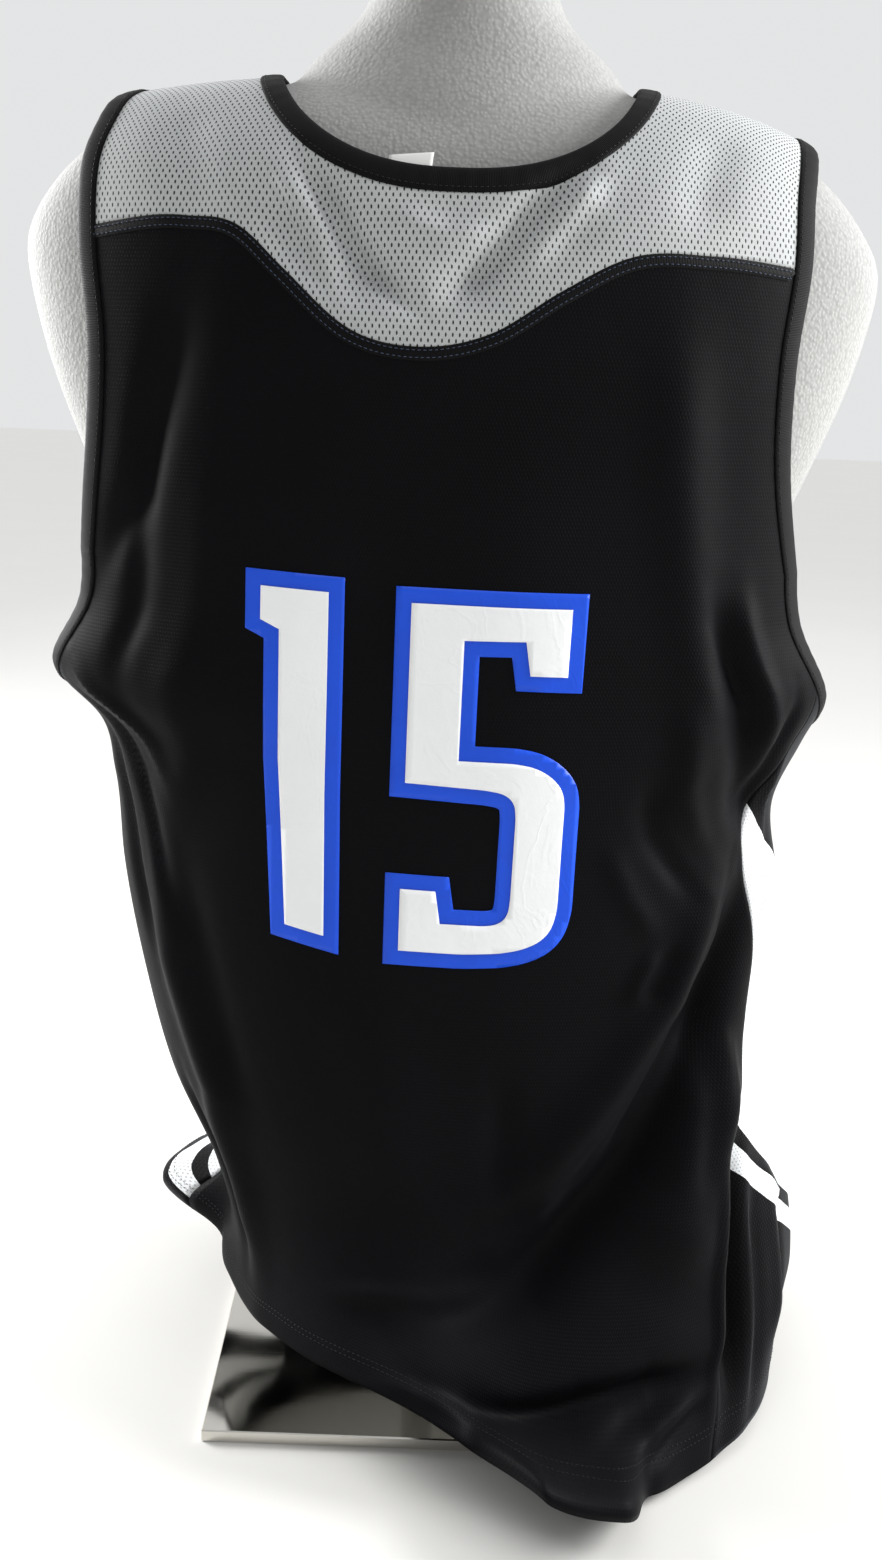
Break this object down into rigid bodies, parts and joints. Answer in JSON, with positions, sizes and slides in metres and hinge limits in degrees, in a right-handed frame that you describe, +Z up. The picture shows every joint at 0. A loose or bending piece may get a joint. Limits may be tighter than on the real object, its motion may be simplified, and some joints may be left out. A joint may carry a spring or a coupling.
{
  "type": "basketball jersey on a dress form",
  "caption": "Sleeveless basketball jersey with a numbered back, mesh back yoke and bound neck and armholes, draped over a limbless dress form on a flat plate.",
  "frame": {"origin": "centre of the base plate's underside", "axes": "+Z up, -Y towards the wearer's back with the number, -X towards the wearer's left"},
  "size_m": [0.5631, 0.4653, 0.994],
  "materials": {
    "black_knit": "fine polyester knit, semi-matte",
    "black_binding": "folded knit tape, matte",
    "grey_mesh": "open polyester mesh, light grey",
    "white_knit": "fine polyester knit with a black lower end",
    "white_film": "heat-bonded film, satin",
    "blue_film": "heat-bonded film, satin",
    "white_label": "woven label, plain",
    "form_cover": "light grey knit cover",
    "mirror_steel": "mirror-polished"
  },
  "bodies": {
    "root": {"armhole_binding_left": "black_binding", "armhole_binding_right": "black_binding", "back_panel": "black_knit", "back_yoke": "grey_mesh", "base_plate": "mirror_steel", "dress_form": "form_cover", "front_panel": "black_knit", "neck_binding": "black_binding", "number_five_face": "white_film", "number_five_outline": "blue_film", "number_one_face": "white_film", "number_one_outline": "blue_film", "side_panel_left": "white_knit", "side_panel_right": "white_knit", "size_tag": "white_label", "stand_post": "mirror_steel"}
  },
  "joints": []
}
